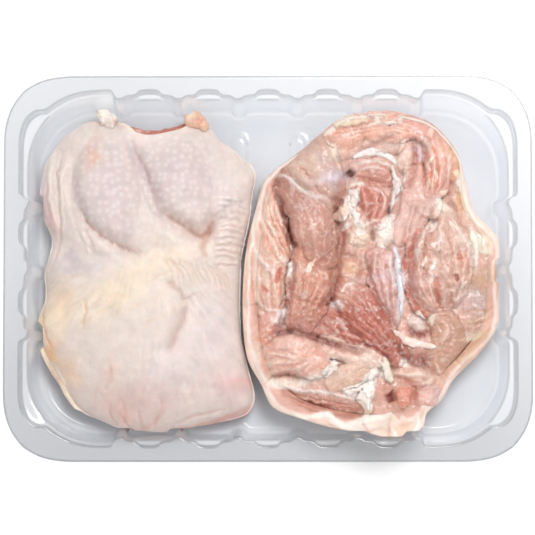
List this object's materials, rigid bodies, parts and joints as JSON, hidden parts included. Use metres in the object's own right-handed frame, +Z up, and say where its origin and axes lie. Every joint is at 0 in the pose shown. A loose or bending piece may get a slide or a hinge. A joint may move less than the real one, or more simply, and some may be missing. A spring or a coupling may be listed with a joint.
{
  "type": "meat tray pack",
  "caption": "Open clear food tray with a ribbed wall and floor, holding raw boned chicken legs, one skin side up and one spread meat side up.",
  "frame": {"origin": "centre of the tray's outline in plan, at the height of the tray's underside", "axes": "+X along the tray's long side with the spread leg on the +X half, +Y along its short side away from the viewer, +Z up out of the open tray"},
  "size_m": [0.26, 0.19, 0.045],
  "materials": {
    "tray": "clear thin thermoformed plastic",
    "left_skin": "wet raw chicken skin",
    "left_meat": "moist raw chicken meat",
    "left_fat_tip": "moist raw chicken fat",
    "left_orange_tip": "moist raw chicken fat",
    "right_skin": "wet raw chicken skin",
    "right_meat": "moist raw chicken meat",
    "right_upper_slab": "moist raw chicken meat",
    "right_thick_lobe": "moist raw chicken meat",
    "right_finger_lobe": "moist raw chicken meat",
    "right_top_curl": "moist raw chicken meat",
    "right_low_knob_a": "moist raw chicken meat",
    "right_low_knob_b": "moist raw chicken meat",
    "right_cartilage_a": "moist raw chicken meat",
    "right_cartilage_b": "moist raw chicken meat",
    "right_cartilage_c": "moist raw chicken meat",
    "right_long_tendon": "moist raw chicken meat",
    "right_middle_flap": "moist raw chicken meat",
    "right_fat_lump_a": "moist raw chicken fat",
    "right_fat_lump_b": "moist raw chicken fat",
    "right_fat_centre": "moist raw chicken fat",
    "right_white_arc": "moist raw chicken meat",
    "right_edge_fat_a": "moist raw chicken fat"
  },
  "bodies": {
    "root": {"tray": "tray", "left_skin": "left_skin", "left_meat": "left_meat", "left_fat_tip": "left_fat_tip", "left_orange_tip": "left_orange_tip", "right_skin": "right_skin", "right_meat": "right_meat", "right_upper_slab": "right_upper_slab", "right_thick_lobe": "right_thick_lobe", "right_finger_lobe": "right_finger_lobe", "right_top_curl": "right_top_curl", "right_low_knob_a": "right_low_knob_a", "right_low_knob_b": "right_low_knob_b", "right_cartilage_a": "right_cartilage_a", "right_cartilage_b": "right_cartilage_b", "right_cartilage_c": "right_cartilage_c", "right_long_tendon": "right_long_tendon", "right_middle_flap": "right_middle_flap", "right_fat_lump_a": "right_fat_lump_a", "right_fat_lump_b": "right_fat_lump_b", "right_fat_centre": "right_fat_centre", "right_white_arc": "right_white_arc", "right_edge_fat_a": "right_edge_fat_a"}
  },
  "joints": []
}
